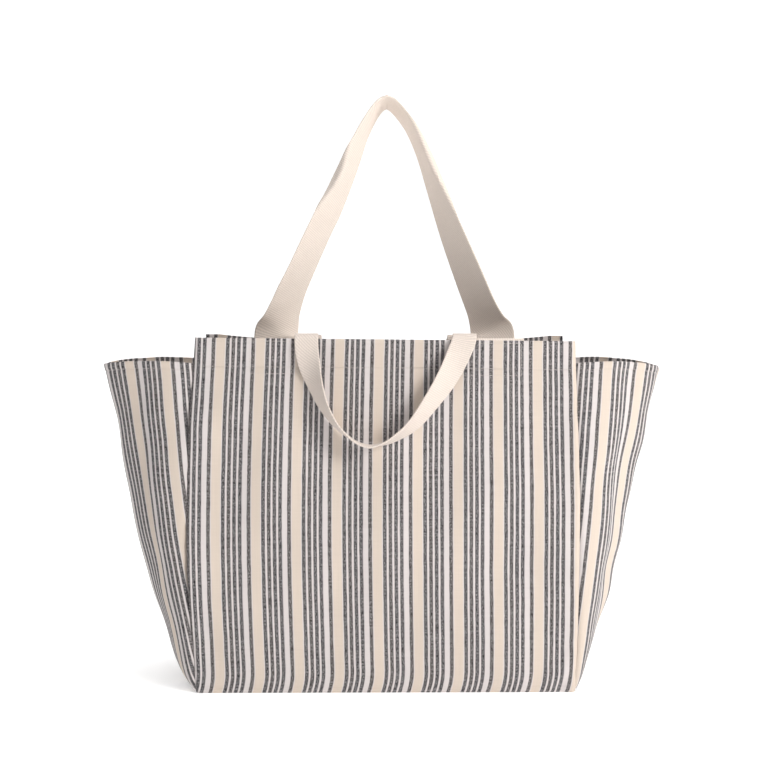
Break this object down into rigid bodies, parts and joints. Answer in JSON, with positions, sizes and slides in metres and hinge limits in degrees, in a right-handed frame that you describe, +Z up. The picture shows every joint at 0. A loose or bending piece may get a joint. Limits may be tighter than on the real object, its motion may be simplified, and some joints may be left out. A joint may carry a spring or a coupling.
{
  "type": "canvas tote bag",
  "caption": "Wide open-topped striped canvas tote with flared side gussets, long webbing shoulder straps and short webbing grab handles.",
  "frame": {"origin": "middle of the base, on the surface that the bag stands on", "axes": "+X to the right along the front, -Y out of the front panel, +Z up"},
  "size_m": [0.606, 0.196, 0.6235],
  "materials": {
    "striped_canvas": "matte woven cotton canvas, cream with charcoal and beige warp stripes",
    "wide_webbing": "matte cream cotton twill webbing",
    "narrow_webbing": "matte cream cotton webbing with a ribbed face",
    "binding_tape": "matte cream cotton tape",
    "thread": "matte cream sewing thread"
  },
  "bodies": {
    "bag": {"front_panel": "striped_canvas", "back_panel": "striped_canvas", "left_gusset": "striped_canvas", "right_gusset": "striped_canvas", "base_panel": "striped_canvas", "front_facing": "striped_canvas", "back_facing": "striped_canvas", "front_left_seam_binding": "binding_tape", "front_right_seam_binding": "binding_tape", "back_left_seam_binding": "binding_tape", "back_right_seam_binding": "binding_tape", "base_seam_binding": "binding_tape", "back_shoulder_strap_tabs": "wide_webbing", "front_shoulder_strap_tabs": "wide_webbing", "front_grab_handle_tabs": "narrow_webbing", "back_grab_handle_tabs": "narrow_webbing", "front_hem_stitching": "thread", "back_hem_stitching": "thread", "left_rim_stitching": "thread", "right_rim_stitching": "thread", "back_shoulder_strap_stitching": "thread", "front_shoulder_strap_stitching": "thread", "front_grab_handle_stitching": "thread", "back_grab_handle_stitching": "thread"},
    "back_shoulder_strap": {"back_shoulder_strap": "wide_webbing"},
    "front_shoulder_strap": {"front_shoulder_strap": "wide_webbing"},
    "front_grab_handle": {"front_grab_handle": "narrow_webbing"},
    "back_grab_handle": {"back_grab_handle": "narrow_webbing"}
  },
  "joints": [
    {"name": "back_shoulder_strap_swing", "type": "hinge", "parent": "bag", "child": "back_shoulder_strap", "pos_m": [0, 0.0514, 0.3725], "axis": [1, 0, 0], "range_deg": [-100, 40]},
    {"name": "front_shoulder_strap_swing", "type": "hinge", "parent": "bag", "child": "front_shoulder_strap", "pos_m": [0, -0.0514, 0.3725], "axis": [1, 0, 0], "range_deg": [0, 18]},
    {"name": "front_grab_handle_swing", "type": "hinge", "parent": "bag", "child": "front_grab_handle", "pos_m": [0, -0.0514, 0.3725], "axis": [1, 0, 0], "range_deg": [-160, 0]},
    {"name": "back_grab_handle_swing", "type": "hinge", "parent": "bag", "child": "back_grab_handle", "pos_m": [0, 0.0514, 0.3725], "axis": [1, 0, 0], "range_deg": [0, 115]}
  ]
}
